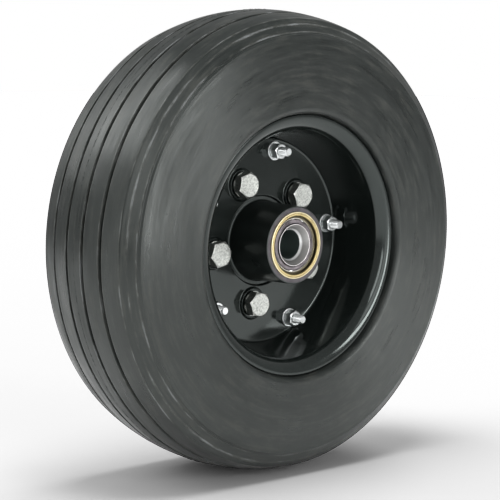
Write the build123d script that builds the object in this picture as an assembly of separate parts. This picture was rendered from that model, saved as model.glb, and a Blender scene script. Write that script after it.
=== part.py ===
"""Industrial wheel: a solid ribbed rubber tyre on a two-piece bolted steel rim, with a bolted hub.

Millimetres. The origin is the wheel's centre and +Y is the spin axis. The front, with the lug
bolts' heads and the rim bolts' nuts, faces -Y, and +Z is up. Turned sections are drawn with X as
the radius and Y as the place along the axis.
"""

from build123d import *

import os
from math import cos, radians, tan

# Tyre: crowned tread with narrow grooves, buttress, small step and nearly flat sidewall
tyre_diameter = 406.4
tyre_width = 124.0
crown_radius = 160.0
shoulder_inset = 12.2
shoulder_radius = 3.5
rib_pitch = 20.4
groove_count = 4
groove_mouth = 3.4
groove_floor = 1.8
groove_depth = 6.0
buttress_drop = 20.0
buttress_inset = 4.8
ledge_rise = 3.2
ledge_run = 2.0
ledge_rounding = 0.8
sidewall_corner_drop = 39.2
sidewall_blend = 120.0
lip_gap = 1.4
lip_rounding = 5.5
bead_clearance = 0.2
tip_gap = 0.5
tyre_base_half_width = 9.0

# Rim half, pressed from sheet: flat disc, leaning wall, curled flange
rim_sheet = 3.0
wall_angle = 11.0
disc_bend = 2.4
flange_inset = 6.0
flange_width = 14.0
flange_curl = 13.0
flange_edge = 1.62
flange_tip_rounding = 1.2
pilot_hole_rounding = 1.3

# Lug bolts and their coined seats
lug_count = 5
lug_pilot_gap = 16.6
lug_phase = -26.3
lug_radius = 6.35
lug_across_flats = 20.64
lug_stand = 12.0
lug_head_height = 9.0
lug_cone_radius = 11.0
lug_cone_half_angle = 30.0
lug_end_stand = 4.0
lug_end_chamfer = 1.2
lug_clocking = (5.3, 23.3, 11.3, 1.3, 28.3)
seat_clearance = 0.1
seat_rise = 2.0
seat_crest_gap = 2.3
seat_flank = 1.7
seat_crest_width = 0.7
seat_well_depth = 1.0
rear_lug_hole_clearance = 1.95

# Rim bolts, nuts and washers
rim_bolt_count = 5
rim_bolt_margin = 11.4
rim_bolt_inset = 21.2
rim_bolt_radius = 3.97
rim_bolt_length = 25.4
rim_bolt_across_flats = 12.7
rim_bolt_head_height = 5.2
rim_bolt_end_chamfer = 1.3
rim_hole_clearance = 0.4
nut_height = 8.5
washer_margin = 2.05
washer_thickness = 1.6
washer_hole_clearance = 0.45
thread_clearance = 0.05
hex_chamfer_angle = 30.0

# Hub: flange behind the rim, pilot through it, tapered barrels to both sides
hub_length = 95.25
hub_wall = 5.225
barrel_draft = 1.6
pilot_land = 4.3
pilot_clearance = 0.3
pilot_recess = 2.2
pilot_chamfer = 0.6
barrel_fillet = 2.0
hub_flange_margin = 12.7
hub_flange_thickness = 10.0
hub_flange_chamfer = 1.0
rear_fillet = 5.0
hub_face_chamfer = 0.5
hub_shoulder = 4.575
bearing_fit = 0.025

# Ball bearings, each wall or gap counted outwards from the axle bushing
inner_ring_wall = 5.3
inner_ring_overhang = 0.4
inner_ring_chamfer = 2.2
inner_shoulder_gap = 0.8
outer_shoulder_gap = 2.2
outer_ring_wall = 3.275
bearing_depth = 14.29
bearing_flange_width = 0.725
bearing_flange_thickness = 1.2
ball_radius = 3.97
ball_count = 12
ball_inset = 7.125
race_clearance = 0.05
shield_bore_gap = 1.3
shield_thickness = 0.8
shield_seat_depth = 0.5
shield_clearance = 0.1
cage_gap = 0.6
cage_web = 0.71
cage_side_gap = 0.2
pocket_clearance = 0.12

# Axle bushings, one from each side
axle_bore_radius = 12.75
bushing_wall = 4.2
bushing_fit = 0.05
bushing_face_inset = 0.925
flare_reach = 0.8
flare_lip = 0.8
flare_depth = 7.6
flare_heel_depth = 2.6

# Radii worked out from the axle bore outwards
inner_ring_bore_radius = axle_bore_radius + bushing_wall + bushing_fit
flare_mouth_radius = inner_ring_bore_radius + flare_reach
inner_shoulder_radius = inner_ring_bore_radius + inner_ring_wall
ball_circle_radius = inner_shoulder_radius + inner_shoulder_gap
outer_shoulder_radius = ball_circle_radius + outer_shoulder_gap
shield_bore_radius = inner_shoulder_radius + shield_bore_gap
bearing_radius = outer_shoulder_radius + outer_ring_wall
bearing_flange_radius = bearing_radius + bearing_flange_width
hub_cavity_radius = bearing_radius - hub_shoulder
hub_face_radius = bearing_radius + hub_wall
barrel_root_radius = hub_face_radius + barrel_draft
pilot_radius = barrel_root_radius + pilot_land
lug_circle_radius = pilot_radius + lug_pilot_gap
hub_flange_radius = lug_circle_radius + hub_flange_margin
rim_bolt_circle_radius = hub_flange_radius + rim_bolt_margin
bead_seat_radius = rim_bolt_circle_radius + rim_bolt_inset
tyre_radius = tyre_diameter / 2
washer_radius = rim_bolt_across_flats / 2 + washer_margin
seat_crest_radius = lug_cone_radius + seat_crest_gap
seat_foot_radius = seat_crest_radius + seat_flank

# Places worked out along the axis, from the middle plane to the sides
disc_face = -rim_sheet
lug_head_top = disc_face - lug_stand
lug_cone_top = lug_head_top + lug_head_height
hub_flange_front = rim_sheet
hub_flange_back = hub_flange_front + hub_flange_thickness
hub_half = hub_length / 2
washer_face = disc_face - washer_thickness
nut_face = washer_face - nut_height
bearing_face = hub_half + bearing_flange_thickness
ball_place = hub_half - ball_inset
cage_half_width = ball_radius + pocket_clearance + cage_web
bushing_face_place = hub_half - bushing_face_inset
half_width = tyre_width / 2
flange_place = half_width - flange_inset
bead_seat_place = flange_place - flange_width
lug_angles = [lug_phase + n * 360 / lug_count for n in range(lug_count)]
rim_bolt_phase = lug_phase + 180 / lug_count
rim_bolt_angles = [rim_bolt_phase + n * 360 / rim_bolt_count for n in range(rim_bolt_count)]


def outline(*corners):
    """Closed face from (radius, place along Y) corners. A third number rounds that corner."""
    face = make_face(Polyline(*[corner[:2] for corner in corners], close=True))
    for corner in corners:
        if len(corner) == 3:
            nearest = face.vertices().sort_by_distance((corner[0], corner[1], 0))[:1]
            face = fillet(nearest, corner[2])
    return face


def turned(face):
    return revolve(face, Axis.Y)


def turned_outline(*corners):
    return turned(outline(*corners))


def tube(low, high, inner_radius, outer_radius):
    """Ring or, with no inner radius, rod between two places along Y."""
    return turned_outline((inner_radius, low), (inner_radius, high), (outer_radius, high), (outer_radius, low))


def flipped(shape):
    """The same piece on the other side of the wheel's middle plane."""
    return mirror(shape, Plane.XZ)


def stationed(piece, circle_radius, angles, clocking=None):
    """Copies of a piece round a circle, at angles from the top, each turned about its own axis first."""
    turns = clocking or [0.0] * len(angles)
    return [
        Rot(0, angle, 0) * Pos(0, 0, circle_radius) * Rot(0, turn, 0) * piece
        for angle, turn in zip(angles, turns)
    ]


def crown_height(y):
    """Radius of the tread surface at a place along Y."""
    return tyre_radius - crown_radius + (crown_radius**2 - y**2) ** 0.5


def wall_height(place):
    """Radius of the rim wall's tyre side at a distance from the middle plane."""
    return bead_seat_radius + (place - bead_seat_place) * tan(radians(wall_angle))


def flange_tip_radius():
    """The flange's edge lies a little beyond the curl."""
    sheet_across = rim_sheet / cos(radians(wall_angle))
    curl_run = flange_curl * tan(radians(90 - wall_angle) / 2)
    return wall_height(flange_place) - sheet_across + curl_run + flange_edge


def lug_cone_height(y):
    """Radius of a lug bolt's conical seat at a place along Y."""
    return lug_cone_radius - (y - lug_cone_top) * tan(radians(lug_cone_half_angle))


def tyre():
    tread_half_width = half_width - shoulder_inset
    tread_edge_radius = crown_height(tread_half_width)
    buttress_radius = tyre_radius - buttress_drop
    buttress_place = half_width - buttress_inset
    tip_radius = flange_tip_radius()
    base_radius = wall_height(tyre_base_half_width) + bead_clearance
    bead_place = flange_place - rim_sheet - bead_clearance
    bead_corner_radius = wall_height(bead_place) + bead_clearance
    buttress_lean = (buttress_place - tread_half_width) / (tread_edge_radius - buttress_radius)
    beyond_crown = tyre_radius + groove_depth
    side = [
        (beyond_crown, tread_half_width - buttress_lean * (beyond_crown - tread_edge_radius)),
        (buttress_radius, buttress_place, ledge_rounding),
        (buttress_radius - ledge_run, buttress_place + ledge_rise, ledge_rounding),
        (tyre_radius - sidewall_corner_drop, half_width, sidewall_blend),
        (tip_radius + lip_gap, half_width, lip_rounding),
        (tip_radius + tip_gap, bead_place),
        (bead_corner_radius, bead_place, flange_curl - rim_sheet - bead_clearance),
        (base_radius, tyre_base_half_width),
    ]
    front = [(corner[0], -corner[1], *corner[2:]) for corner in side]
    section = outline(*front, *reversed(side))
    section &= Pos(tyre_radius - crown_radius, 0) * Circle(crown_radius)
    for sign in (-1, 1):
        edge = (tread_edge_radius, sign * tread_half_width, 0)
        section = fillet(section.vertices().sort_by_distance(edge)[:1], shoulder_radius)
    for n in range(groove_count):
        section -= groove((n - (groove_count - 1) / 2) * rib_pitch, beyond_crown)
    return turned(section)


def groove(y, top):
    """Section of one tread groove, drawn on past the tread to a given radius."""
    floor = crown_height(y) - groove_depth
    flank = (groove_mouth - groove_floor) / 2 / groove_depth
    low_half = groove_floor / 2
    top_half = low_half + flank * (top - floor)
    return outline((floor, y - low_half), (floor, y + low_half), (top, y + top_half), (top, y - top_half))


def rim_half():
    """The front half's sheet, with the holes for the rim bolts."""
    sheet_across = rim_sheet / cos(radians(wall_angle))
    curl_place = flange_place - rim_sheet
    tip_radius = flange_tip_radius()
    sheet = turned_outline(
        (pilot_radius + pilot_clearance, 0),
        (pilot_radius + pilot_clearance, disc_face, pilot_hole_rounding),
        (wall_height(rim_sheet) - sheet_across, disc_face, disc_bend),
        (wall_height(flange_place) - sheet_across, -flange_place, flange_curl),
        (tip_radius, -flange_place, flange_tip_rounding),
        (tip_radius, -curl_place, flange_tip_rounding),
        (wall_height(curl_place), -curl_place, flange_curl - rim_sheet),
        (wall_height(0), 0, disc_bend + rim_sheet),
    )
    hole = tube(-2 * rim_sheet, rim_sheet, 0, rim_bolt_radius + rim_hole_clearance)
    return sheet - stationed(hole, rim_bolt_circle_radius, rim_bolt_angles)


def rim_half_front():
    """Each lug hole has a coined ring round it and a conical seat through it."""
    crest_place = disc_face - seat_rise
    well_place = crest_place + seat_well_depth
    well_radius = seat_crest_radius - seat_crest_width
    ring = turned_outline(
        (0, disc_face / 2),
        (0, crest_place),
        (seat_crest_radius, crest_place),
        (seat_foot_radius, disc_face),
        (seat_foot_radius, disc_face / 2),
    )
    seat = turned_outline(
        (0, rim_sheet),
        (0, crest_place - seat_rise),
        (well_radius, crest_place - seat_rise),
        (well_radius, crest_place),
        (lug_cone_height(well_place) + seat_clearance, well_place),
        (lug_cone_height(rim_sheet) + seat_clearance, rim_sheet),
    )
    half = rim_half() + stationed(ring, lug_circle_radius, lug_angles)
    return half - stationed(seat, lug_circle_radius, lug_angles)


def rim_half_rear():
    hole = tube(-rim_sheet, 2 * rim_sheet, 0, lug_radius + rear_lug_hole_clearance)
    return flipped(rim_half()) - stationed(hole, lug_circle_radius, lug_angles)


def hexagon(across_flats, low, high, chamfer_end):
    """Hexagonal prism between two places along Y, its corners cut back at one of the two ends."""
    flat = across_flats / 2
    beyond = across_flats
    cut_back = (beyond - flat) * tan(radians(hex_chamfer_angle))
    other_end = high if chamfer_end == low else low
    inward = cut_back if chamfer_end == low else -cut_back
    prism = extrude(RegularPolygon(flat, 6, major_radius=False, rotation=30), high - low)
    prism = Pos(0, low, 0) * Rot(-90, 0, 0) * prism
    return prism & turned_outline(
        (0, chamfer_end),
        (flat, chamfer_end),
        (beyond, chamfer_end + inward),
        (beyond, other_end + inward),
        (0, other_end + inward),
    )


def lug_bolt():
    cone_end = lug_cone_top + (lug_cone_radius - lug_radius) / tan(radians(lug_cone_half_angle))
    end = hub_flange_back + lug_end_stand
    shank = turned_outline(
        (0, lug_cone_top),
        (lug_cone_radius, lug_cone_top),
        (lug_radius, cone_end),
        (lug_radius, end - lug_end_chamfer),
        (lug_radius - lug_end_chamfer, end),
        (0, end),
    )
    return hexagon(lug_across_flats, lug_head_top, lug_cone_top, lug_head_top) + shank


def rim_bolt():
    """Head against the rear half, thread towards the front."""
    end = rim_sheet - rim_bolt_length
    shank = turned_outline(
        (0, rim_sheet),
        (rim_bolt_radius, rim_sheet),
        (rim_bolt_radius, end + rim_bolt_end_chamfer),
        (rim_bolt_radius - rim_bolt_end_chamfer, end),
        (0, end),
    )
    head_top = rim_sheet + rim_bolt_head_height
    return hexagon(rim_bolt_across_flats, rim_sheet, head_top, head_top) + shank


def rim_washer():
    return tube(washer_face, disc_face, rim_bolt_radius + washer_hole_clearance, washer_radius)


def rim_nut():
    bore = tube(nut_face - nut_height, disc_face, 0, rim_bolt_radius + thread_clearance)
    return hexagon(rim_bolt_across_flats, nut_face, washer_face, nut_face) - bore


def hub():
    seat_radius = bearing_radius + bearing_fit
    seat_end = hub_half - bearing_depth
    pilot_place = disc_face + pilot_recess
    body = turned_outline(
        (seat_radius, -hub_half),
        (hub_face_radius - hub_face_chamfer, -hub_half),
        (hub_face_radius, hub_face_chamfer - hub_half),
        (barrel_root_radius, pilot_place, barrel_fillet),
        (pilot_radius - pilot_chamfer, pilot_place),
        (pilot_radius, pilot_place + pilot_chamfer),
        (pilot_radius, hub_flange_front),
        (hub_flange_radius, hub_flange_front),
        (hub_flange_radius, hub_flange_back - hub_flange_chamfer),
        (hub_flange_radius - hub_flange_chamfer, hub_flange_back),
        (barrel_root_radius, hub_flange_back, rear_fillet),
        (hub_face_radius, hub_half - hub_face_chamfer),
        (hub_face_radius - hub_face_chamfer, hub_half),
        (seat_radius, hub_half),
        (seat_radius, seat_end),
        (hub_cavity_radius, seat_end),
        (hub_cavity_radius, -seat_end),
        (seat_radius, -seat_end),
    )
    hole = tube(disc_face, hub_flange_back + hub_flange_thickness, 0, lug_radius + thread_clearance)
    return body - stationed(hole, lug_circle_radius, lug_angles)


def bearing_outer_ring():
    """Front bearing's outer ring: flange on the hub's face, ball groove, and a seat for each shield."""
    ring_end = bearing_depth - hub_half
    section = outline(
        (outer_shoulder_radius, -bearing_face),
        (bearing_flange_radius, -bearing_face),
        (bearing_flange_radius, -hub_half),
        (bearing_radius, -hub_half),
        (bearing_radius, ring_end),
        (outer_shoulder_radius, ring_end),
    )
    section -= ball_groove()
    for low, high in shield_places():
        section -= shield_outline(low, high, outer_shoulder_radius + shield_seat_depth)
    return turned(section)


def ball_groove():
    return Pos(ball_circle_radius, -ball_place) * Circle(ball_radius + race_clearance)


def shield_places():
    """Low and high places along Y of the front bearing's outer and inner shields."""
    offset = cage_half_width + cage_side_gap
    outer = (-ball_place - offset - shield_thickness, -ball_place - offset)
    inner = (-ball_place + offset, -ball_place + offset + shield_thickness)
    return outer, inner


def shield_outline(low, high, radius):
    return outline((shield_bore_radius, low), (radius, low), (radius, high), (shield_bore_radius, high))


def bearing_shield(low, high):
    return turned(shield_outline(low, high, outer_shoulder_radius + shield_seat_depth - shield_clearance))


def bearing_inner_ring():
    low = -ball_place - cage_half_width - inner_ring_overhang
    high = -ball_place + cage_half_width + inner_ring_overhang
    section = outline(
        (inner_ring_bore_radius, high),
        (inner_ring_bore_radius, low + inner_ring_chamfer),
        (inner_ring_bore_radius + inner_ring_chamfer, low),
        (inner_shoulder_radius, low),
        (inner_shoulder_radius, high),
    )
    return turned(section - ball_groove())


def round_the_balls(piece):
    """Copies of a piece at each ball's place in the front bearing."""
    angles = [n * 360 / ball_count for n in range(ball_count)]
    return stationed(Pos(0, -ball_place, 0) * piece, ball_circle_radius, angles)


def bearing_cage():
    sides = (-ball_place - cage_half_width, -ball_place + cage_half_width)
    ring = tube(*sides, inner_shoulder_radius + cage_gap, outer_shoulder_radius - cage_gap)
    return ring - round_the_balls(Cylinder(ball_radius + pocket_clearance, 2 * ball_radius))


def axle_bushing():
    """Front bushing: a sleeve up to the middle plane, its outer end flared inside and out."""
    body_radius = axle_bore_radius + bushing_wall
    return turned_outline(
        (axle_bore_radius, 0),
        (axle_bore_radius, flare_depth - bushing_face_place),
        (flare_mouth_radius, -bushing_face_place),
        (flare_mouth_radius + flare_lip, -bushing_face_place),
        (body_radius, flare_heel_depth - bushing_face_place),
        (body_radius, 0),
    )


def wheel_nodes():
    """Each node's name and its list of solids."""
    outer_shield, inner_shield = shield_places()
    nodes = {
        "tyre": [tyre()],
        "rim_half_front": [rim_half_front()],
        "rim_half_rear": [rim_half_rear()],
        "hub": [hub()],
        "lug_bolts": stationed(lug_bolt(), lug_circle_radius, lug_angles, lug_clocking),
        "rim_bolts": stationed(rim_bolt(), rim_bolt_circle_radius, rim_bolt_angles),
        "rim_washers": stationed(rim_washer(), rim_bolt_circle_radius, rim_bolt_angles),
        "rim_nuts": stationed(rim_nut(), rim_bolt_circle_radius, rim_bolt_angles),
    }
    bearing = {
        "bearing_outer_ring": [bearing_outer_ring()],
        "bearing_inner_ring": [bearing_inner_ring()],
        "bearing_outer_shield": [bearing_shield(*outer_shield)],
        "bearing_inner_shield": [bearing_shield(*inner_shield)],
        "bearing_balls": round_the_balls(Sphere(ball_radius)),
        "bearing_cage": [bearing_cage()],
        "axle_bushing": [axle_bushing()],
    }
    for name, pieces in bearing.items():
        nodes[f"{name}_front"] = pieces
        nodes[f"{name}_rear"] = [flipped(piece) for piece in pieces]
    return nodes


os.makedirs("parts", exist_ok=True)
for node, pieces in wheel_nodes().items():
    solids = [solid for piece in pieces for solid in piece.solids()]
    export_step(Compound(children=solids, label=node), f"parts/{node}.step")
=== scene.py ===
"""Looks of the industrial wheel: tyre, rim, hub, bearings and fasteners dressed round the frame.

Metres. +Y is the spin axis, the front faces -Y and +Z is up. A turned outline is a list of
(radius, place along Y) corners, and a third number rounds that corner.
"""

import cmath
import math

import bmesh
import bpy
import numpy as np
from mathutils import Matrix, Vector, noise
from mathutils.geometry import tessellate_polygon


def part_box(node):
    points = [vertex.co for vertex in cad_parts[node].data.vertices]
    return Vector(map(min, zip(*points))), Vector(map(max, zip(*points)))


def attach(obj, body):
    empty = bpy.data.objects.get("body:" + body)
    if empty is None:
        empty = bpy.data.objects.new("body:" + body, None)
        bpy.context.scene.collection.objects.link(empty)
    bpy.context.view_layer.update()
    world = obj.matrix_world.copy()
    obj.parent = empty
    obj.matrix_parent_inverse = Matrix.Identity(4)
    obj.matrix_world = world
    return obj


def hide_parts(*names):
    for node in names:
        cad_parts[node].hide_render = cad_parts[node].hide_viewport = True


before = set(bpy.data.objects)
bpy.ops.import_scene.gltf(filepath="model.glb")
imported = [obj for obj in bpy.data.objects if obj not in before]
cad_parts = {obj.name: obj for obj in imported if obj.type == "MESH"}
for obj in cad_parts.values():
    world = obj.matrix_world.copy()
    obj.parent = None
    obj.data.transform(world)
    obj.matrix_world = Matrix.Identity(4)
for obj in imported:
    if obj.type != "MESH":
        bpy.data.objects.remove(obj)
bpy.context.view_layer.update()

MM = 0.001
INCH = 25.4 * MM
TURN = 2 * math.pi

# Tyre
tyre_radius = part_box("tyre")[1].z
half_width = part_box("tyre")[1].y
crown_radius = 160 * MM
tread_edge_radius = 195.25 * MM
tread_half_width = 49.8 * MM
shoulder_radius = 3.5 * MM
rib_pitch = 20.4 * MM
groove_count = 4
groove_mouth = 3.4 * MM
groove_floor = 1.8 * MM
groove_depth = 6 * MM
groove_edge_rounding = 0.5 * MM
groove_floor_rounding = 0.6 * MM
buttress_radius = 183.2 * MM
buttress_place = 57.2 * MM
buttress_rounding = 0.5 * MM
ledge_rise = 3.2 * MM
ledge_run = 2 * MM
ledge_step_shares = ((0.75, 0.35), (0.5, 0.4))
ledge_step_rounding = 0.3 * MM
ledge_crest_rounding = 0.7 * MM
ledge_crest_width = 2.6 * MM
ledge_crest_fall = 0.15 * MM
ledge_foot_rounding = 1.5 * MM
sidewall_corner_radius = 164 * MM
sidewall_blend = 120 * MM
lip_radius = 115 * MM
lip_rounding = 5.5 * MM
bead_clearance = 0.2 * MM
tip_gap = 0.5 * MM
tyre_base_half_width = 9 * MM
tyre_base_rounding = 1 * MM
flash_height = 0.35 * MM
flash_half_width = 0.45 * MM
flash_tip_half_width = flash_half_width / 5
flash_root_depth = 0.1 * MM
flash_mean_share = 0.5
flash_least_share = 0.08
flash_ragged_scale = 60
flash_ragged_fractal = (0.6, 2, 4)
flash_wander_scale = 9
# Band along the rib and ledge corners where highlights are painted into the rubber's colour
highlight_near = 0.25 * MM
highlight_far = 0.8 * MM
highlight_offset = 0.2 * MM
highlight_inner_radius = 175 * MM
highlight_fade = 2 * MM

# Rim
rim_sheet = 3 * MM
bead_seat_radius = 4 * INCH
bead_seat_place = 42 * MM
wall_angle = math.radians(11)
disc_bend = 2.4 * MM
flange_place = 56 * MM
flange_curl = 13 * MM
flange_tip_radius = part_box("rim_half_front")[1].z
flange_tip_rounding = 1.2 * MM
flat_radius = 86 * MM
seat_rise = 2 * MM
seat_foot_radius = 14.6 * MM
seat_crest_radius = 13.3 * MM
seat_crest_width = 0.7 * MM
seat_well_depth = 1 * MM
seat_clearance = 0.1 * MM
seat_fillet = 0.9 * MM
rear_lug_hole_radius = 8.3 * MM

# Lug bolts
lug_count = 5
lug_circle_radius = 56.3 * MM
lug_phase = -26.3
lug_radius = INCH / 4
lug_across_flats = 13 / 16 * INCH
lug_stand = 12 * MM
lug_head_height = 9 * MM
lug_cone_radius = 11 * MM
lug_cone_half_angle = math.radians(30)
lug_end_stand = 4 * MM
lug_pitch = INCH / 20
lug_clocking = (5.3, 23.3, 11.3, 1.3, 28.3)
lug_head_face_share = 0.95
lug_head_foot_share = 0.985
lug_dish = ((0.3, 0.12 * MM), (0.8, 0.05 * MM))

# Rim bolts, washers and nuts
rim_bolt_count = 5
rim_bolt_circle_radius = 80.4 * MM
rim_bolt_phase = lug_phase + 180 / lug_count
rim_bolt_radius = 5 / 32 * INCH
rim_bolt_length = 1 * INCH
rim_bolt_across_flats = INCH / 2
rim_bolt_head_height = 5.2 * MM
rim_bolt_face_share = 0.93
rim_bolt_foot_share = 0.96
rim_bolt_pitch = INCH / 18
rim_hole_radius = rim_bolt_radius + 0.4 * MM
nut_height = 8.5 * MM
nut_face_share = 0.93
nut_countersink = 0.4 * MM
washer_radius = 8.4 * MM
washer_thickness = 1.6 * MM
washer_hole_radius = rim_bolt_radius + 0.45 * MM
washer_rounding = 0.35 * MM
washer_burr_rounding = 0.15 * MM
hole_edge = 0.3 * MM
thread_clearance = 0.05 * MM
thread_depth_share = 0.6134
thread_overshoot = 0.3
thread_tip_drop_share = 1.1
thread_tip_slope = 0.9
hex_chamfer_angle = math.radians(30)

# Hub
hub_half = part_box("hub")[1].y
hub_flange_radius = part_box("hub")[1].z
hub_face_radius = 33.8 * MM
barrel_root_radius = 35.4 * MM
pilot_radius = 39.7 * MM
pilot_recess = 2.2 * MM
pilot_hole_radius = 40 * MM
pilot_edge = 1.1 * MM
pilot_edge_rounding = 0.98 * pilot_edge
pilot_chamfer = 0.6 * MM
barrel_fillet = 2 * MM
hub_flange_front = rim_sheet
hub_flange_back = 13 * MM
hub_flange_chamfer = 1 * MM
hub_flange_front_rounding = 0.4 * MM
hub_flat_inner = 46 * MM
hub_flat_outer = 66 * MM
hub_land_width = 1 * MM
hub_face_rounding = 0.7 * MM
rear_fillet = 5 * MM
hub_cavity_radius = 24 * MM

# Ball bearings and axle bushings
bearing_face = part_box("bearing_outer_ring_rear")[1].y
bearing_radius = 2.25 * INCH / 2
bearing_depth = 9 / 16 * INCH
bearing_seat_clearance = 0.025 * MM
bearing_flange_radius = 29.3 * MM
bearing_flange_rounding = 0.5 * MM
outer_shoulder_radius = 25.3 * MM
ring_mouth_radius = 26.2 * MM
ring_mouth_depth = 0.9 * MM
ring_mouth_rounding = 0.3 * MM
ring_mouth_foot_rounding = 0.2 * MM
ring_groove_radius = 27.7 * MM
ring_groove_half_width = 0.55 * MM
ring_groove_depth = 0.35 * MM
ring_groove_edge_rounding = 0.15 * MM
ring_groove_floor_rounding = 0.25 * MM
ring_end_rounding = 0.6 * MM
ring_end_bore_rounding = 0.3 * MM
ring_burr_rounding = 0.15 * MM
inner_shoulder_radius = 22.3 * MM
inner_shoulder_rounding = 0.4 * MM
inner_ring_bore_radius = 17 * MM
inner_ring_bore_rounding = 0.3 * MM
inner_ring_half_width = 5.2 * MM
inner_ring_chamfer = 2.2 * MM
inner_ring_chamfer_rounding = 0.5 * MM
ball_groove_radius = 3.969 * MM + 0.05 * MM
ball_circle_radius = 23.1 * MM
ball_place = 40.5 * MM
shield_bore_radius = 23.6 * MM
shield_outer_radius = 25.7 * MM
shield_seat_radius = 25.8 * MM
shield_thickness = 0.8 * MM
shield_roll_rounding = 0.3 * MM
shield_burr_rounding = 0.15 * MM
shield_near = 5 * MM
axle_bore_radius = 12.75 * MM
bushing_body_radius = 16.95 * MM
bushing_face_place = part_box("axle_bushing_rear")[1].y
flare_mouth_radius = 17.8 * MM
flare_mouth_rounding = 0.5 * MM
flare_lip = 0.8 * MM
flare_lip_rounding = 0.3 * MM
flare_depth = 7.6 * MM
flare_root_rounding = 1.2 * MM
flare_heel_depth = 2.6 * MM
flare_heel_rounding = 0.5 * MM
bore_highlight_width = 1.1 * MM

# Worked out from the sizes above
disc_face = -rim_sheet
washer_face = disc_face - washer_thickness
nut_face = washer_face - nut_height
lug_head_top = disc_face - lug_stand
lug_cone_top = lug_head_top + lug_head_height
lug_end = hub_flange_back + lug_end_stand
rim_bolt_end = rim_sheet - rim_bolt_length

# How finely shapes are cut, and the angle in degrees from which an edge is sharp
wheel_segments = 288
bearing_segments = 144
fastener_segments = 72
small_segments = 48
flash_segments = 1600
rib_steps = 8
thread_steps = 10
ball_groove_points = 13
arc_step = math.radians(9)
weld_distance = 0.001 * MM
rubber_sharp_angle = 50
metal_sharp_angle = 35
fastener_sharp_angle = 28


class Shape:
    """Points and faces of one piece while it is built, with a finish for each face."""

    def __init__(self):
        self.points = []
        self.faces = []
        self.finishes = []

    def ring(self, radius, place, segments, centre=(0, 0)):
        """Round loop about an axis along Y, as point numbers. centre is that axis's X and Z."""
        angles = np.arange(segments) * TURN / segments
        radii = np.broadcast_to(radius, segments)
        places = np.broadcast_to(place, segments)
        return self.loop(centre[0] + radii * np.sin(angles), places, centre[1] + radii * np.cos(angles))

    def loop(self, x, y, z):
        """Points from lists of X, Y and Z, as point numbers."""
        first = len(self.points)
        self.points.extend(zip(x, y, z))
        return list(range(first, len(self.points)))

    def face(self, numbers, finish=0):
        self.faces.append(numbers)
        self.finishes.append(finish)

    def bridge(self, one, other, finish=0):
        """Band of faces between two loops with as many points each."""
        for n in range(len(one)):
            after = (n + 1) % len(one)
            self.face((one[n], one[after], other[after], other[n]), finish)

    def skin(self, loops, closed=False, finish=0):
        """Bands between neighbouring loops, and back to the first where closed."""
        for one, other in zip(loops, loops[1:] + loops[:1] if closed else loops[1:]):
            self.bridge(one, other, finish)

    def turned(self, corners, segments, centre=(0, 0), closed=True, finish=0):
        """Body of revolution about an axis along Y. Returns its loops."""
        loops = [self.ring(point.real, point.imag, segments, centre) for point in rounded(corners, closed)]
        self.skin(loops, closed, finish)
        return loops

    def plate(self, edge, holes, finish=0):
        """Flat face inside one loop and outside the others."""
        loops = [edge, *holes]
        numbers = [number for loop in loops for number in loop]
        flat = [[self.flattened(number) for number in loop] for loop in loops]
        for triangle in tessellate_polygon(flat):
            self.face(tuple(numbers[corner] for corner in triangle), finish)

    def flattened(self, number):
        """A point's X and Z, as a place in the plane."""
        x, _, z = self.points[number]
        return Vector((x, z, 0))

    def moved(self, matrix):
        """The same shape somewhere else."""
        other = Shape()
        other.points = [tuple(matrix @ Vector(point)) for point in self.points]
        other.faces = self.faces
        other.finishes = self.finishes
        return other


def rounded(corners, closed=True):
    """An outline's points as complex numbers, radius + place * 1j, with arcs at its rounded corners."""
    points = []
    for n, (radius, place, *rounding) in enumerate(corners):
        here = complex(radius, place)
        if not rounding or not rounding[0]:
            points.append(here)
            continue
        before = unit(complex(*corners[n - 1][:2]) - here)
        after = unit(complex(*corners[(n + 1) % len(corners)][:2]) - here)
        half = abs(cmath.phase(before / after)) / 2
        centre = here + unit(before + after) * rounding[0] / math.sin(half)
        start = here + before * rounding[0] / math.tan(half) - centre
        end = here + after * rounding[0] / math.tan(half) - centre
        turn = cmath.phase(end / start)
        steps = max(3, math.ceil(abs(turn) / arc_step))
        points += [centre + start * cmath.exp(1j * turn * step / steps) for step in range(steps + 1)]
    return points


def unit(number):
    return number / abs(number)


def flipped(corners):
    """The same outline on the other side of the middle plane."""
    return [(corner[0], -corner[1], *corner[2:]) for corner in corners]


def piece(name, shape, body, node, finishes, sharp_angle=metal_sharp_angle):
    """Object from a finished shape, which rides on its body and stands for a node of the frame, if any."""
    mesh = bpy.data.meshes.new(name)
    mesh.from_pydata(shape.points, [], shape.faces)
    for finish in finishes:
        mesh.materials.append(finish)
    mesh.polygons.foreach_set("material_index", shape.finishes)
    work = bmesh.new()
    work.from_mesh(mesh)
    bmesh.ops.remove_doubles(work, verts=work.verts, dist=weld_distance)
    bmesh.ops.recalc_face_normals(work, faces=work.faces)
    work.to_mesh(mesh)
    work.free()
    mesh.shade_smooth()
    mesh.set_sharp_from_angle(angle=math.radians(sharp_angle))
    thing = bpy.data.objects.new(name, mesh)
    bpy.context.scene.collection.objects.link(thing)
    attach(thing, body)
    if node:
        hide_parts(node)


# Materials


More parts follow.
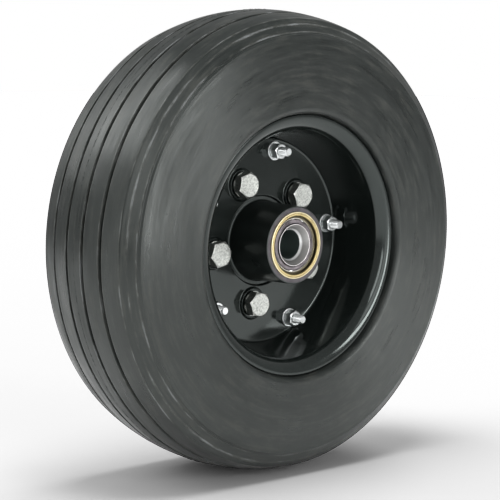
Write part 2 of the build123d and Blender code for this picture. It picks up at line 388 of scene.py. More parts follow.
class Finish:
    """A material under construction: constants sit on the shader's sockets, and nodes vary the rest."""

    def __init__(self, name, **constants):
        self.material = bpy.data.materials.new(name)
        self.material.use_nodes = True
        self.nodes = self.material.node_tree.nodes
        self.links = self.material.node_tree.links
        self.shader = self.nodes["Principled BSDF"]
        for socket, value in constants.items():
            self.shader.inputs[socket.replace("_", " ")].default_value = value

    def node(self, kind, inputs=None, **settings):
        """New node, with a number or another node's output on each socket that inputs names."""
        made = self.nodes.new(kind)
        for name, value in settings.items():
            setattr(made, name, value)
        for socket, value in (inputs or {}).items():
            if isinstance(value, bpy.types.NodeSocket):
                self.links.new(value, made.inputs[socket])
            else:
                made.inputs[socket].default_value = value
        return made

    def math(self, operation, *values):
        return self.node("ShaderNodeMath", dict(enumerate(values)), operation=operation).outputs[0]

    def place(self):
        """Where a point is on its object, in metres."""
        return self.node("ShaderNodeTexCoord").outputs["Object"]

    def polar_place(self):
        """X, Y, Z and the distance from the wheel's axis."""
        split = self.node("ShaderNodeSeparateXYZ", {0: self.place()})
        x, y, z = (split.outputs[n] for n in range(3))
        squares = [self.math("MULTIPLY", part, part) for part in (x, z)]
        return x, y, z, self.math("SQRT", self.math("ADD", *squares))

    def streaks(self, round_scale, across_scale, detail=3, roughness=0.6):
        """Noise drawn out into streaks round the wheel's axis: long round it and short across it."""
        x, y, z, radius = self.polar_place()
        around = [self.math("MULTIPLY", self.math("DIVIDE", part, radius), round_scale) for part in (x, z)]
        across = self.math("MULTIPLY", y, across_scale)
        vector = self.node("ShaderNodeCombineXYZ", {0: around[0], 1: around[1], 2: across}).outputs[0]
        depth = self.math("MULTIPLY", radius, across_scale)
        inputs = {"Vector": vector, "W": depth, "Scale": 1.0, "Detail": detail, "Roughness": roughness}
        return self.node("ShaderNodeTexNoise", inputs, noise_dimensions="4D").outputs["Fac"]

    def speckle(self, scale, detail=3, roughness=0.6):
        """Noise without a direction, scale blotches to a metre."""
        inputs = {"Vector": self.place(), "Scale": scale, "Detail": detail, "Roughness": roughness}
        return self.node("ShaderNodeTexNoise", inputs).outputs["Fac"]

    def ramp(self, value, low, high, start, end):
        """Number that goes from start to end as value goes from low to high."""
        inputs = {"Value": value, "From Min": low, "From Max": high, "To Min": start, "To Max": end}
        return self.node("ShaderNodeMapRange", inputs).outputs[0]

    def colours(self, value, *stops):
        """Colour that follows value through (place, colour) stops."""
        made = self.node("ShaderNodeValToRGB", {0: value})
        elements = made.color_ramp.elements
        for n, (place, colour) in enumerate(stops):
            element = elements[n] if n < 2 else elements.new(place)
            element.position = place
            element.color = (*colour, 1)
        return made.outputs[0]

    def vary(self, socket, value):
        self.links.new(value, self.shader.inputs[socket])

    def bump(self, *layers):
        """Bump from (height, depth in metres) layers, one on top of another."""
        normal = None
        for height, depth in layers:
            inputs = {"Height": height, "Distance": depth, "Strength": 1.0}
            if normal:
                inputs["Normal"] = normal
            normal = self.node("ShaderNodeBump", inputs).outputs[0]
        self.vary("Normal", normal)


def grey(value):
    return (value, value, value)


def painted_edge_highlights(finish):
    """Mask of the painted highlights: 1 along the corners of the ribs and of the buttress, and 0 elsewhere.
    """
    _, y, _, radius = finish.polar_place()
    pitches = finish.math("FRACT", finish.math("DIVIDE", y, rib_pitch))
    off_middle = finish.math("ABSOLUTE", finish.math("SUBTRACT", pitches, 0.5))
    off_groove = finish.math("MULTIPLY", off_middle, rib_pitch)
    off_corner = finish.math("ABSOLUTE", finish.math("SUBTRACT", off_groove, groove_mouth / 2 + highlight_offset))
    off_ledge = finish.math("ABSOLUTE", finish.math("SUBTRACT", finish.math("ABSOLUTE", y), buttress_place))
    nearest = finish.math("MINIMUM", off_corner, off_ledge)
    outside = finish.ramp(radius, highlight_inner_radius, highlight_inner_radius + highlight_fade, 0, 1)
    return finish.math("MULTIPLY", finish.ramp(nearest, highlight_near, highlight_far, 1, 0), outside)


def tyre_rubber():
    """Moulded black rubber: streaks round the wheel, painted highlights along the rib and ledge corners,
    scuffs and a faint brown bloom.
    """
    finish = Finish(
        "tyre_rubber", Specular_IOR_Level=0.46, Specular_Tint=(0.95, 1, 0.97, 1),
        Anisotropic=0.85, Anisotropic_Rotation=0.25,
    )
    hair = finish.streaks(4, 800, 2)
    line = finish.streaks(5, 300, 3)
    band = finish.streaks(2.2, 70, 3, 0.5)
    scuff = finish.streaks(7, 240, 6, 0.72)
    mottle = finish.speckle(60, 6, 0.7)
    finish.vary("Tangent", finish.node("ShaderNodeTangent", direction_type="RADIAL", axis="Y").outputs[0])
    streaked = finish.math("ADD", finish.math("MULTIPLY", line, 0.6), finish.math("MULTIPLY", scuff, 0.6))
    dirt = finish.math("ADD", streaked, finish.math("MULTIPLY", mottle, 0.35))
    bloom = finish.ramp(dirt, 0.62, 0.98, 0, 0.55)
    # Painted highlight: lighter rubber along the rib and ledge corners, broken up by the scuffs.
    edge_highlight = finish.math("MULTIPLY", painted_edge_highlights(finish), finish.ramp(scuff, 0.4, 0.62, 0.1, 0.6))
    stops = (
        (0, (0.002, 0.003, 0.0028)),
        (0.25, (0.005, 0.0066, 0.006)),
        (0.55, (0.018, 0.0188, 0.0165)),
        (1, (0.08, 0.085, 0.087)),
    )
    finish.vary("Base Color", finish.colours(finish.math("ADD", bloom, edge_highlight), *stops))
    gloss = finish.math("ADD", finish.math("MULTIPLY", band, 0.8), finish.math("MULTIPLY", line, 0.6))
    finish.vary("Roughness", finish.ramp(gloss, 0.5, 0.9, 0.24, 0.5))
    finish.bump((hair, 0.025 * MM), (line, 0.09 * MM), (band, 0.25 * MM), (mottle, 0.1 * MM))
    return finish.material


def gloss_paint(name, roughness, peel_depth):
    """Gloss black paint with faint orange peel and specks of dust."""
    finish = Finish(name, Specular_IOR_Level=0.46, Specular_Tint=(0.9, 1, 0.97, 1))
    peel = finish.speckle(260, 1, 0.4)
    wave = finish.speckle(45, 1, 0.4)
    dust = finish.speckle(900, 4, 0.7)
    stops = (
        (0.5, (0.003, 0.004, 0.0037)),
        (0.78, (0.016, 0.02, 0.018)),
    )
    finish.vary("Base Color", finish.colours(dust, *stops))
    finish.vary("Roughness", finish.ramp(wave, 0.3, 0.7, roughness * 0.8, roughness * 1.25))
    finish.bump((wave, 4 * peel_depth), (peel, peel_depth))
    return finish.material


def turned_steel(name, dark, light, rough, groove_depth=0.004 * MM):
    """Turned metal with fine tool marks round the wheel's axis."""
    finish = Finish(name, Metallic=1.0)
    marks = finish.streaks(0.6, 2600, 2)
    blotch = finish.speckle(160, 3)
    tone = finish.math("MULTIPLY", marks, blotch)
    finish.vary("Base Color", finish.colours(tone, (0.12, dark), (0.4, light)))
    finish.vary("Roughness", finish.ramp(blotch, 0.3, 0.7, rough * 0.8, rough * 1.25))
    finish.bump((marks, groove_depth))
    return finish.material


def zinc(name, dark, light, rough, spangle_scale, spangle_depth):
    """Zinc plate over forged steel: pale, with a fine spangle and small pits."""
    finish = Finish(name, Metallic=1.0)
    spangle = finish.speckle(spangle_scale, 4, 0.7)
    pits = finish.speckle(spangle_scale * 0.3, 2)
    finish.vary("Base Color", finish.colours(spangle, (0.35, dark), (0.62, light)))
    finish.vary("Roughness", finish.ramp(spangle, 0.3, 0.7, rough * 1.3, rough * 0.8))
    finish.bump((pits, 3 * spangle_depth), (spangle, spangle_depth))
    return finish.material


def yellow_chromate():
    """Yellow zinc plate: pale gold on the flange, darkened to olive brown by painted shade inside its mouth
    and in its groove.
    """
    finish = Finish("yellow_zinc", Metallic=1.0)
    radius = finish.polar_place()[3]
    marks = finish.streaks(0.6, 2600, 2)
    blotch = finish.speckle(220, 3)
    tone = finish.ramp(radius, shield_bore_radius, bearing_flange_radius, 0, 1)
    wander = finish.math("ADD", tone, finish.ramp(finish.math("ADD", marks, blotch), 0.7, 1.3, -0.04, 0.04))
    # Painted shade: the stops darken the ring over the shield and inside its mouth, and again in the groove
    # at 0.72.
    stops = (
        (0, (0.30, 0.26, 0.17)),
        (0.08, (0.05, 0.045, 0.03)),
        (0.30, (0.06, 0.05, 0.03)),
        (0.36, (0.20, 0.16, 0.075)),
        (0.46, (0.42, 0.34, 0.16)),
        (0.62, (0.52, 0.43, 0.23)),
        (0.72, (0.32, 0.25, 0.11)),
        (0.86, (0.62, 0.55, 0.36)),
    )
    finish.vary("Base Color", finish.colours(wander, *stops))
    finish.vary("Roughness", finish.ramp(blotch, 0.3, 0.7, 0.26, 0.42))
    finish.bump((marks, 0.004 * MM))
    return finish.material


def bushing_metal():
    """Pale matte flare, a painted highlight along the rounded edge of the bore, and a bore darkened by
    painted shade.
    """
    finish = Finish("bushing_steel", Metallic=1.0)
    radius = finish.polar_place()[3]
    marks = finish.streaks(0.6, 2200, 2)
    blotch = finish.speckle(300, 3)
    low = axle_bore_radius - bore_highlight_width
    high = flare_mouth_radius + flare_lip
    tone = finish.ramp(radius, low, high, 0, 1)
    bore_highlight_end = 2 * bore_highlight_width / (high - low)
    # Painted shade darkens the bore, and a painted highlight brightens the rounded edge where the bore meets
    # the flare.
    stops = (
        (bore_highlight_end * 0.5, (0.16, 0.2, 0.19)),
        (bore_highlight_end * 0.62, grey(0.8)),
        (bore_highlight_end, grey(0.75)),
        (bore_highlight_end * 1.25, (0.24, 0.24, 0.235)),
        (0.84, (0.34, 0.335, 0.33)),
        (0.93, (0.66, 0.64, 0.64)),
    )
    finish.vary("Base Color", finish.colours(tone, *stops))
    finish.vary("Roughness", finish.ramp(finish.math("ADD", marks, blotch), 0.7, 1.3, 0.4, 0.55))
    finish.bump((marks, 0.006 * MM))
    return finish.material


rubber = tyre_rubber()
rim_paint = gloss_paint("rim_paint", 0.13, 0.0012 * MM)
hub_paint = gloss_paint("hub_paint", 0.34, 0.004 * MM)
hub_satin = turned_steel("hub_satin", (0.055, 0.05, 0.055), (0.1, 0.095, 0.1), 0.42)
zinc_bolt = zinc("zinc_bolts", (0.2, 0.21, 0.2), (0.46, 0.47, 0.445), 0.4, 620, 0.03 * MM)
zinc_small = zinc("zinc_small", (0.4, 0.42, 0.42), (0.66, 0.68, 0.68), 0.3, 1300, 0.008 * MM)
yellow_zinc = yellow_chromate()
bearing_steel = turned_steel("bearing_steel", (0.07, 0.062, 0.066), (0.2, 0.18, 0.19), 0.32)
bushing_steel = bushing_metal()
polished_balls = turned_steel("polished_balls", grey(0.6), grey(0.75), 0.08, 0.0005 * MM)
cage_steel = turned_steel("cage_steel", (0.4, 0.38, 0.34), (0.55, 0.53, 0.48), 0.34)


# Tyre


def crown_height(y):
    """Radius of the tread at a place along Y. It lies under the mould flash by the flash's height."""
    return tyre_radius - flash_height - crown_radius + math.sqrt(crown_radius**2 - y**2)


def wall_height(place):
    """Radius of the rim wall's tyre side at a distance from the middle plane."""
    return bead_seat_radius + (place - bead_seat_place) * math.tan(wall_angle)


def rib(low, high):
    """Tread surface between two places, without its ends."""
    places = [low + (high - low) * n / rib_steps for n in range(1, rib_steps)]
    return [(crown_height(place), place) for place in places]


def groove(place):
    """Corners of one tread groove, with its edges and floor rounded."""
    floor = crown_height(place) - groove_depth
    mouth = groove_mouth / 2
    low = place - mouth
    high = place + mouth
    return [
        (crown_height(low), low, groove_edge_rounding),
        (floor, place - groove_floor / 2, groove_floor_rounding),
        (floor, place + groove_floor / 2, groove_floor_rounding),
        (crown_height(high), high, groove_edge_rounding),
    ]


def tread():
    """Tread from the front shoulder to the rear one, without the shoulders."""
    places = [(n - (groove_count - 1) / 2) * rib_pitch for n in range(groove_count)]
    edge = tread_half_width - shoulder_radius / 2
    corners = []
    low = -edge
    for place in places:
        corners += rib(low, place - groove_mouth / 2)
        corners += groove(place)
        low = place + groove_mouth / 2
    return corners + rib(low, edge)


def sidewall():
    """Rear side of the tyre from the shoulder to the middle of the base."""
    base_radius = wall_height(tyre_base_half_width) + bead_clearance
    bead_place = flange_place - rim_sheet - bead_clearance
    ledge_radius = buttress_radius - ledge_run
    ledge_place = buttress_place + ledge_rise
    step = [
        (ledge_radius + run * ledge_run, buttress_place + rise * ledge_rise, ledge_step_rounding)
        for run, rise in ledge_step_shares
    ]
    return [
        (tread_edge_radius - flash_height, tread_half_width, shoulder_radius),
        (buttress_radius, buttress_place, buttress_rounding),
        *step,
        (ledge_radius, ledge_place, ledge_crest_rounding),
        (ledge_radius - ledge_crest_width, ledge_place - ledge_crest_fall, ledge_foot_rounding),
        (sidewall_corner_radius, half_width, sidewall_blend),
        (lip_radius, half_width, lip_rounding),
        (flange_tip_radius + tip_gap, bead_place),
        (wall_height(bead_place) + bead_clearance, bead_place, flange_curl - rim_sheet - bead_clearance),
        (base_radius, tyre_base_half_width, tyre_base_rounding),
    ]


def tyre():
    """Solid tyre, its front side the mirror of its rear one."""
    rear = sidewall()
    shape = Shape()
    shape.turned(tread() + rear + flipped(rear)[::-1], wheel_segments)
    piece("tyre_ribbed", shape, "wheel", "tyre", [rubber], rubber_sharp_angle)


def on_circle(angle, radius, layer):
    """Place on a circle in the noise, so that the noise meets itself after one turn."""
    return Vector((math.cos(angle) * radius, math.sin(angle) * radius, layer))


def mould_flash():
    """Ragged thread of rubber that the mould's parting line leaves round the middle rib."""
    angles = np.arange(flash_segments) * TURN / flash_segments
    ragged_places = [on_circle(angle, flash_ragged_scale, 3) for angle in angles]
    wander_places = [on_circle(angle, flash_wander_scale, 8) for angle in angles]
    ragged = np.array([noise.fractal(place, *flash_ragged_fractal) for place in ragged_places])
    wander = np.array([noise.noise(place) for place in wander_places])
    height = np.clip(flash_mean_share + ragged, flash_least_share, 1) * flash_height
    middle = wander * flash_half_width / 2
    root = crown_height(0) - flash_root_depth
    tip = root + height + flash_root_depth
    shape = Shape()
    loops = [
        shape.ring(root, middle - flash_half_width, flash_segments),
        shape.ring(tip, middle - flash_tip_half_width, flash_segments),
        shape.ring(tip, middle + flash_tip_half_width, flash_segments),
        shape.ring(root, middle + flash_half_width, flash_segments),
    ]
    shape.skin(loops, closed=True)
    piece("tyre_mould_flash", shape, "wheel", None, [rubber], rubber_sharp_angle)


# Rim


def stations(count, circle_radius, phase):
    """Centres of holes on a circle, as X and Z, the first at an angle from the top."""
    angles = [math.radians(phase + n * 360 / count) for n in range(count)]
    return [(circle_radius * math.sin(angle), circle_radius * math.cos(angle)) for angle in angles]


lug_centres = stations(lug_count, lug_circle_radius, lug_phase)
rim_bolt_centres = stations(rim_bolt_count, rim_bolt_circle_radius, rim_bolt_phase)
lug_angles = [lug_phase + n * 360 / lug_count for n in range(lug_count)]
rim_bolt_angles = [rim_bolt_phase + n * 360 / rim_bolt_count for n in range(rim_bolt_count)]


def wall_and_flange():
    """Front half's wall and flange, from the disc's face round the tip to the disc's back."""
    sheet_across = rim_sheet / math.cos(wall_angle)
    curl_place = flange_place - rim_sheet
    return [
        (flat_radius, disc_face),
        (wall_height(rim_sheet) - sheet_across, disc_face, disc_bend),
        (wall_height(flange_place) - sheet_across, -flange_place, flange_curl),
        (flange_tip_radius, -flange_place, flange_tip_rounding),
        (flange_tip_radius, -curl_place, flange_tip_rounding),
        (wall_height(curl_place), -curl_place, flange_curl - rim_sheet),
        (wall_height(0), 0, disc_bend + rim_sheet),
        (flat_radius, 0),
    ]


def pilot_hole():
    """Rounded edge and bore of the hole that the hub's pilot fits in."""
    return [
        (pilot_hole_radius + pilot_edge, disc_face),
        (pilot_hole_radius, disc_face, pilot_edge_rounding),
        (pilot_hole_radius, 0),
    ]


def seat_cone(y):
    """Radius of the conical seat in a lug hole at a place along Y."""
    return lug_cone_radius - (y - lug_cone_top) * math.tan(lug_cone_half_angle) + seat_clearance


def coined_seat():
    """Ring pressed up round a lug hole, its well and the conical seat through the sheet."""
    crest_place = disc_face - seat_rise
    well_place = crest_place + seat_well_depth
    well_radius = seat_crest_radius - seat_crest_width
    return [
        (seat_foot_radius + seat_fillet / 2, disc_face),
        (seat_foot_radius, disc_face, seat_fillet),
        (seat_crest_radius, crest_place, seat_crest_width / 2),
        (well_radius, crest_place, seat_crest_width / 3),
        (well_radius, well_place, seat_crest_width / 3),
        (seat_cone(well_place), well_place),
        (seat_cone(0), 0),
    ]


def drilled_hole(radius, low, high):
    """Hole between two places along Y, with both edges broken."""
    mouth = radius + hole_edge
    return [(mouth, low), (radius, low + hole_edge), (radius, high - hole_edge), (mouth, high)]


def rim_half(lug_hole, mirrored):
    """Sheet half with its lug holes and bolt holes. The outlines are the front half's."""
    def side(corners):
        return flipped(corners) if mirrored else corners

    shape = Shape()
    outer = shape.turned(side(wall_and_flange()), wheel_segments, closed=False)
    inner = shape.turned(side(pilot_hole()), bearing_segments, closed=False)
    holes = [shape.turned(side(lug_hole), fastener_segments, centre, False) for centre in lug_centres]
    bolt_hole = drilled_hole(rim_hole_radius, disc_face, 0)
    holes += [shape.turned(side(bolt_hole), small_segments, centre, False) for centre in rim_bolt_centres]
    for face in (0, -1):
        shape.plate(outer[face], [inner[face], *(hole[face] for hole in holes)])
    return shape


def rim_halves():
    rear_hole = drilled_hole(rear_lug_hole_radius, disc_face, 0)
    front = rim_half(coined_seat(), False)
    rear = rim_half(rear_hole, True)
    piece("rim_front_pressing", front, "wheel", "rim_half_front", [rim_paint])
    piece("rim_rear_pressing", rear, "wheel", "rim_half_rear", [rim_paint])


# Fasteners


def hexagon(shape, across_flats, low, high, low_face, high_face, segments):
    """Loops of a hexagonal head from its low end to its high end, its corners cut back at both.

    low_face and high_face are the radii of the round faces that are left at the ends.
    """
    angles = np.arange(segments) * TURN / segments
    sixth = TURN / 6
    off_flat = np.abs((angles + sixth / 2) % sixth - sixth / 2)
    side = across_flats / 2 / np.cos(off_flat)
    slope = math.tan(hex_chamfer_angle)
    low_edge = low + np.maximum(side - low_face, 0) * slope
    high_edge = high - np.maximum(side - high_face, 0) * slope
    return [
        shape.ring(low_face, low, segments),
        shape.ring(side, low_edge, segments),
        shape.ring(side, high_edge, segments),
        shape.ring(high_face, high, segments),
    ]


def threaded(shape, radius, pitch, start, tip, segments):
    """Loops of a real screw thread from its start to its tip, which is chamfered.

    The wave overshoots the thread's depth at both ends and is clipped, so crest and root are flat.
    """
    depth = thread_depth_share * pitch
    turns = np.arange(segments) / segments
    count = math.ceil(abs(tip - start) / pitch * thread_steps)
    loops = []
    for n in range(count + 1):
        place = start + (tip - start) * n / count
        phase = (place / pitch - turns) % 1
        wave = np.abs(phase - 0.5) * 2 * (1 + thread_overshoot) - thread_overshoot / 2
        flanks = radius - depth * np.clip(wave, 0, 1)
        chamfer = radius - thread_tip_drop_share * depth + thread_tip_slope * abs(place - tip)
        loops.append(shape.ring(np.minimum(flanks, chamfer), place, segments))
    return loops


def lug_bolt():
    """Hexagonal head with a dished top, conical seat, shank and a threaded end."""
    shape = Shape()
    flat = lug_across_flats / 2
    ends = (flat * lug_head_face_share, lug_cone_radius * lug_head_foot_share)
    head = hexagon(shape, lug_across_flats, lug_head_top, lug_cone_top, *ends, fastener_segments)
    dish = [shape.ring(flat * share, lug_head_top + depth, fastener_segments) for share, depth in lug_dish]
    cone_end = lug_cone_top + (lug_cone_radius - lug_radius) / math.tan(lug_cone_half_angle)
    shank = [
        shape.ring(lug_cone_radius, lug_cone_top, fastener_segments),
        shape.ring(lug_radius, cone_end, fastener_segments),
    ]
    shape.face(dish[0])
    shape.skin(dish + head + shank)
    thread = threaded(shape, lug_radius, lug_pitch, cone_end, lug_end, fastener_segments)
    shape.skin(shank[-1:] + thread)
    shape.face(thread[-1])
    return shape


def rim_bolt():
    """Head against the rear half, its thread standing out through the nut at the front."""
    shape = Shape()
    head_top = rim_sheet + rim_bolt_head_height
    flat = rim_bolt_across_flats / 2
    ends = (flat * rim_bolt_foot_share, flat * rim_bolt_face_share)
    head = hexagon(shape, rim_bolt_across_flats, rim_sheet, head_top, *ends, small_segments)
    shape.face(head[-1])
    shape.skin(head)
    neck = shape.ring(rim_bolt_radius, rim_sheet, small_segments)
    thread = threaded(shape, rim_bolt_radius, rim_bolt_pitch, 0, rim_bolt_end, small_segments)
    shape.skin([head[0], neck] + thread)
    shape.face(thread[-1])
    return shape


def rim_washer():
    """Stamped washer, its outer front edge rounder than the others."""
    shape = Shape()
    corners = [
        (washer_hole_radius, washer_face, washer_burr_rounding),
        (washer_radius, washer_face, washer_rounding),
        (washer_radius, disc_face, washer_burr_rounding),
        (washer_hole_radius, disc_face, washer_burr_rounding),
    ]
    shape.turned(corners, fastener_segments)
    return shape


def rim_nut():
    """Nut with both ends chamfered and a countersunk hole that the bolt's thread fills."""
    shape = Shape()
    bore = rim_bolt_radius + thread_clearance
    mouth = bore + nut_countersink
    face = rim_bolt_across_flats / 2 * nut_face_share
    outside = hexagon(shape, rim_bolt_across_flats, nut_face, washer_face, face, face, small_segments)
    inside = [
        shape.ring(mouth, washer_face, small_segments),
        shape.ring(bore, washer_face - nut_countersink, small_segments),
        shape.ring(bore, nut_face + nut_countersink, small_segments),
        shape.ring(mouth, nut_face, small_segments),
    ]
    shape.skin(outside + inside, closed=True)
    return shape


def set_of(name, shape, circle_radius, angles, slot, node, finish, turns=None):
    """One object for each fastener of a set, each turned about its own axis first."""
    for n, angle in enumerate(angles):
        turn = Matrix.Rotation(math.radians(turns[n] if turns else 0), 4, "Y")
        station = Matrix.Rotation(math.radians(angle), 4, "Y") @ Matrix.Translation((0, 0, circle_radius))
        placed = shape.moved(station @ turn)
        piece(f"{name}_{n + 1}", placed, "wheel", node, [finish], fastener_sharp_angle)


def fasteners():
    """Lug bolts, and the bolts, washers and nuts that hold the rim halves together."""
    lug_circle = (lug_circle_radius, lug_angles)
    rim_circle = (rim_bolt_circle_radius, rim_bolt_angles)
    set_of("lug_bolt", lug_bolt(), *lug_circle, "zinc_bolts", "lug_bolts", zinc_bolt, lug_clocking)
    set_of("rim_bolt", rim_bolt(), *rim_circle, "zinc_small", "rim_bolts", zinc_small)
    set_of("rim_washer", rim_washer(), *rim_circle, "zinc_small", "rim_washers", zinc_small)
    set_of("rim_nut", rim_nut(), *rim_circle, "zinc_small", "rim_nuts", zinc_small)


# Hub


def hub():
    """Casting with machined ends, its flange drilled for the lug bolts."""
    seat = bearing_radius + bearing_seat_clearance
    seat_end = hub_half - bearing_depth
    pilot_place = disc_face + pilot_recess
    land = hub_face_radius - hub_land_width
    shape = Shape()
    front = [
        (hub_flat_inner, hub_flange_front),
        (pilot_radius, hub_flange_front),
        (pilot_radius, pilot_place, pilot_chamfer),
        (barrel_root_radius, pilot_place, barrel_fillet),
        (hub_face_radius, -hub_half, hub_face_rounding),
        (land, -hub_half),
    ]
    back = [
        (land, hub_half),
        (hub_face_radius, hub_half, hub_face_rounding),
        (barrel_root_radius, hub_flange_back, rear_fillet),
        (hub_flat_inner, hub_flange_back),
    ]
    bore = [
        (land, -hub_half),
        (seat, -hub_half),
        (seat, -seat_end),
        (hub_cavity_radius, -seat_end),
        (hub_cavity_radius, seat_end),
        (seat, seat_end),
        (seat, hub_half),
        (land, hub_half),
    ]
    rim = [
        (hub_flat_outer, hub_flange_front),
        (hub_flange_radius, hub_flange_front, hub_flange_front_rounding),
        (hub_flange_radius, hub_flange_back, hub_flange_chamfer),
        (hub_flat_outer, hub_flange_back),
    ]
    painted = shape.turned(front, bearing_segments, closed=False)
    shape.turned(bore, bearing_segments, closed=False, finish=1)
    rear = shape.turned(back, bearing_segments, closed=False)
    edge = shape.turned(rim, bearing_segments, closed=False)
    hole = drilled_hole(lug_radius + thread_clearance, hub_flange_front, hub_flange_back)
    holes = [shape.turned(hole, fastener_segments, centre, False) for centre in lug_centres]
    shape.plate(edge[0], [painted[0], *(loop[0] for loop in holes)])
    shape.plate(edge[-1], [rear[-1], *(loop[-1] for loop in holes)])
    piece("hub_casting", shape, "wheel", "hub", [hub_paint, hub_satin])


# Bearings and bushings


def ball_groove_point(angle):
    """Point of the ball groove, at an angle from straight outwards."""
    return (
        ball_circle_radius + ball_groove_radius * math.cos(angle),
        -ball_place + ball_groove_radius * math.sin(angle),
    )


def outer_ring():
    """Front bearing's outer ring: flange on the hub's face, ball groove, and a seat for each shield."""
    ring_end = bearing_depth - hub_half
    near = -ball_place - shield_near
    far = -ball_place + shield_near
    floor_half_width = ring_groove_half_width / 2
    groove_floor_place = ring_groove_depth - bearing_face
    reach = math.acos((outer_shoulder_radius - ball_circle_radius) / ball_groove_radius)
    arc = [ball_groove_point(angle) for angle in np.linspace(-reach, reach, ball_groove_points)]
    return [
        (outer_shoulder_radius, ring_mouth_depth - bearing_face, ring_mouth_foot_rounding),
        (ring_mouth_radius, -bearing_face, ring_mouth_rounding),
        (ring_groove_radius - ring_groove_half_width, -bearing_face, ring_groove_edge_rounding),
        (ring_groove_radius - floor_half_width, groove_floor_place, ring_groove_floor_rounding),
        (ring_groove_radius + floor_half_width, groove_floor_place, ring_groove_floor_rounding),
        (ring_groove_radius + ring_groove_half_width, -bearing_face, ring_groove_edge_rounding),
        (bearing_flange_radius, -bearing_face, bearing_flange_rounding),
        (bearing_flange_radius, -hub_half, ring_burr_rounding),
        (bearing_radius, -hub_half),
        (bearing_radius, ring_end, ring_end_rounding),
        (outer_shoulder_radius, ring_end, ring_end_bore_rounding),
        (outer_shoulder_radius, far + shield_thickness),
        (shield_seat_radius, far + shield_thickness),
        (shield_seat_radius, far),
        (outer_shoulder_radius, far),
        *arc[::-1],
        (outer_shoulder_radius, near),
        (shield_seat_radius, near),
        (shield_seat_radius, near - shield_thickness),
        (outer_shoulder_radius, near - shield_thickness),
    ]


def inner_ring():
    """Front bearing's inner ring, with a chamfered bore and a ball groove."""
    low = -ball_place - inner_ring_half_width
    high = -ball_place + inner_ring_half_width
    reach = math.acos((ball_circle_radius - inner_shoulder_radius) / ball_groove_radius)
    arc = [ball_groove_point(math.pi - angle) for angle in np.linspace(-reach, reach, ball_groove_points)]
    return [
        (inner_ring_bore_radius, high, inner_ring_bore_rounding),
        (inner_ring_bore_radius, low + inner_ring_chamfer, inner_ring_chamfer_rounding),
        (inner_ring_bore_radius + inner_ring_chamfer, low, inner_ring_chamfer_rounding),
        (inner_shoulder_radius, low, inner_shoulder_rounding),
        *arc,
        (inner_shoulder_radius, high, inner_shoulder_rounding),
    ]


def outer_shield():
    """Thin plate with a rolled edge at its bore."""
    near = -ball_place - shield_near
    return [
        (shield_bore_radius, near - shield_thickness, shield_roll_rounding),
        (shield_outer_radius, near - shield_thickness, shield_burr_rounding),
        (shield_outer_radius, near, shield_burr_rounding),
        (shield_bore_radius, near, shield_roll_rounding),
    ]


def axle_bushing():
    """Sleeve up to the middle plane, its outer end flared inside and out."""
    face = -bushing_face_place
    return [
        (axle_bore_radius, 0),
        (axle_bore_radius, face + flare_depth, flare_root_rounding),
        (flare_mouth_radius, face, flare_mouth_rounding),
        (flare_mouth_radius + flare_lip, face, flare_lip_rounding),
        (bushing_body_radius, face + flare_heel_depth, flare_heel_rounding),
        (bushing_body_radius, 0),
    ]


def bearings():
    """Rings, outer shields and axle bushings of both ends."""
    parts = (
        ("bearing_outer_ring", outer_ring(), "wheel", "yellow_zinc", yellow_zinc),
        ("bearing_inner_ring", inner_ring(), "axle_set", "bearing_steel", bearing_steel),
        ("bearing_outer_shield", outer_shield(), "wheel", "yellow_zinc", yellow_zinc),
        ("axle_bushing", axle_bushing(), "axle_set", "bushing_steel", bushing_steel),
    )
    for name, corners, body, slot, finish in parts:
        for end, outline in (("front", corners), ("rear", flipped(corners))):
            shape = Shape()
            shape.turned(outline, bearing_segments)
            piece(f"{name}_turned_{end}", shape, body, f"{name}_{end}", [finish])


def repaint(node, finish):
    """Gives a node of the frame its finish."""
    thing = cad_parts[node]
    thing.data.materials.clear()
    thing.data.materials.append(finish)
    thing.data.shade_smooth()


def hidden_parts():
    """Finishes for what stays as the frame has it: balls, cages and inner shields."""
    for end in ("front", "rear"):
        repaint(f"bearing_balls_{end}", polished_balls)
        repaint(f"bearing_cage_{end}", cage_steel)
        repaint(f"bearing_inner_shield_{end}", yellow_zinc)


# Studio


def white_floor():
    """Plain floor that runs out of sight, and of which the camera sees only the shadows."""
    half = 12
    mesh = bpy.data.meshes.new("floor")
    corners = [(-half, -half, 0), (half, -half, 0), (half, half, 0), (-half, half, 0)]
    mesh.from_pydata(corners, [], [(0, 1, 2, 3)])
    floor = bpy.data.objects.new("floor", mesh)
    floor.location.z = -tyre_radius
    bpy.context.scene.collection.objects.link(floor)
    finish = Finish("floor", Specular_IOR_Level=0.1, Roughness=0.9)
    clouds = finish.speckle(0.8, 2)
    finish.vary("Base Color", finish.colours(clouds, (0.3, grey(0.66)), (0.7, grey(0.68))))
    mesh.materials.append(finish.material)
    floor.is_shadow_catcher = True


def soft_light(name, azimuth, elevation, distance, size, power, mirrored=True):
    """Soft box that looks at the wheel, and is mirrored in it or not.

    Angles are in degrees. Azimuth 0 is the front, and grows towards +X. Power is in watts.
    """
    light = bpy.data.lights.new(name, "AREA")
    light.shape = "RECTANGLE"
    light.size, light.size_y = size
    light.energy = power
    thing = bpy.data.objects.new(name, light)
    around, up = math.radians(azimuth), math.radians(elevation)
    away = Vector((math.sin(around) * math.cos(up), -math.cos(around) * math.cos(up), math.sin(up)))
    thing.location = away * distance
    thing.rotation_euler = away.to_track_quat("Z", "Y").to_euler()
    thing.visible_camera = False
    thing.visible_glossy = mirrored
    bpy.context.scene.collection.objects.link(thing)


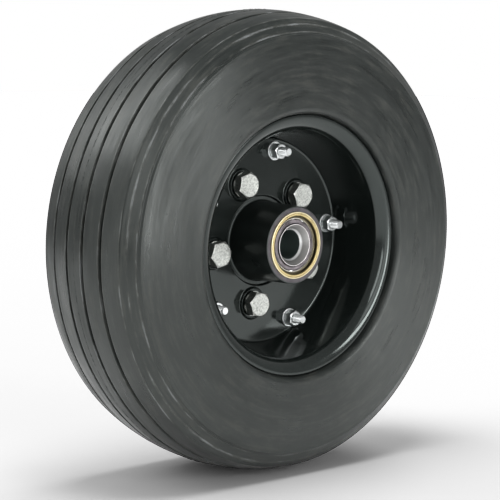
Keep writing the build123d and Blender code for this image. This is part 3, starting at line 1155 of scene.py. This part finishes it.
def surround(brightness):
    """White backdrop to look at, in a room that lights the object only dimly."""
    world = bpy.data.worlds.new("surround")
    world.use_nodes = True
    bpy.context.scene.world = world
    nodes = world.node_tree.nodes
    links = world.node_tree.links
    room = nodes["Background"]
    room.inputs["Strength"].default_value = brightness
    backdrop = nodes.new("ShaderNodeBackground")
    path = nodes.new("ShaderNodeLightPath")
    mix = nodes.new("ShaderNodeMixShader")
    for shader in (room, backdrop):
        shader.inputs["Color"].default_value = (1, 1, 1, 1)
    links.new(path.outputs["Is Camera Ray"], mix.inputs[0])
    links.new(room.outputs[0], mix.inputs[1])
    links.new(backdrop.outputs[0], mix.inputs[2])
    links.new(mix.outputs[0], nodes["World Output"].inputs[0])


def camera():
    """Long lens at the photograph's place, a little above the hub and to the left of the front."""
    azimuth, elevation, roll = (math.radians(angle) for angle in (-42.452, 7.922, 1.210))
    distance = 1.5
    aim = Vector((-0.678 * MM, 46.16 * MM))
    back = Vector((
        math.sin(azimuth) * math.cos(elevation),
        -math.cos(azimuth) * math.cos(elevation),
        math.sin(elevation),
    ))
    level = Vector((math.cos(azimuth), math.sin(azimuth), 0))
    upward = back.cross(level)
    right = level * math.cos(roll) + upward * math.sin(roll)
    up = upward * math.cos(roll) - level * math.sin(roll)
    lens = bpy.data.cameras.new("camera")
    lens.sensor_width = 36
    lens.lens = 121.37
    lens.shift_x = -0.0188
    lens.shift_y = 0.084
    lens.clip_end = 100
    viewer = bpy.data.objects.new("camera", lens)
    place = back * distance - right * aim.x - up * aim.y
    viewer.matrix_world = Matrix.Translation(place) @ Matrix((right, up, back)).transposed().to_4x4()
    bpy.context.scene.collection.objects.link(viewer)
    bpy.context.scene.camera = viewer


tyre()
mould_flash()
rim_halves()
fasteners()
hub()
bearings()
hidden_parts()
white_floor()
surround(brightness=0.56)
# Name, azimuth, elevation, distance, width and height, power
soft_light("overhead", -50, 84, 1.9, (0.9, 0.9), 55, mirrored=False)
soft_light("high_right", 100, 52, 1.8, (0.8, 0.8), 22, mirrored=False)
soft_light("front", 2, 12, 2.0, (0.6, 1.2), 6)
soft_light("front_right", 22, 8, 2.0, (0.4, 1.0), 18)
soft_light("front_left", -20, 14, 2.0, (0.5, 1.0), 9)
soft_light("high_left", -125, 50, 1.8, (1.3, 1.3), 22)
soft_light("behind_left", -145, 30, 2.0, (1.0, 1.0), 8)
soft_light("left", -100, 5, 1.8, (0.9, 1.4), 8)
camera()
bpy.context.scene.view_settings.view_transform = "Standard"
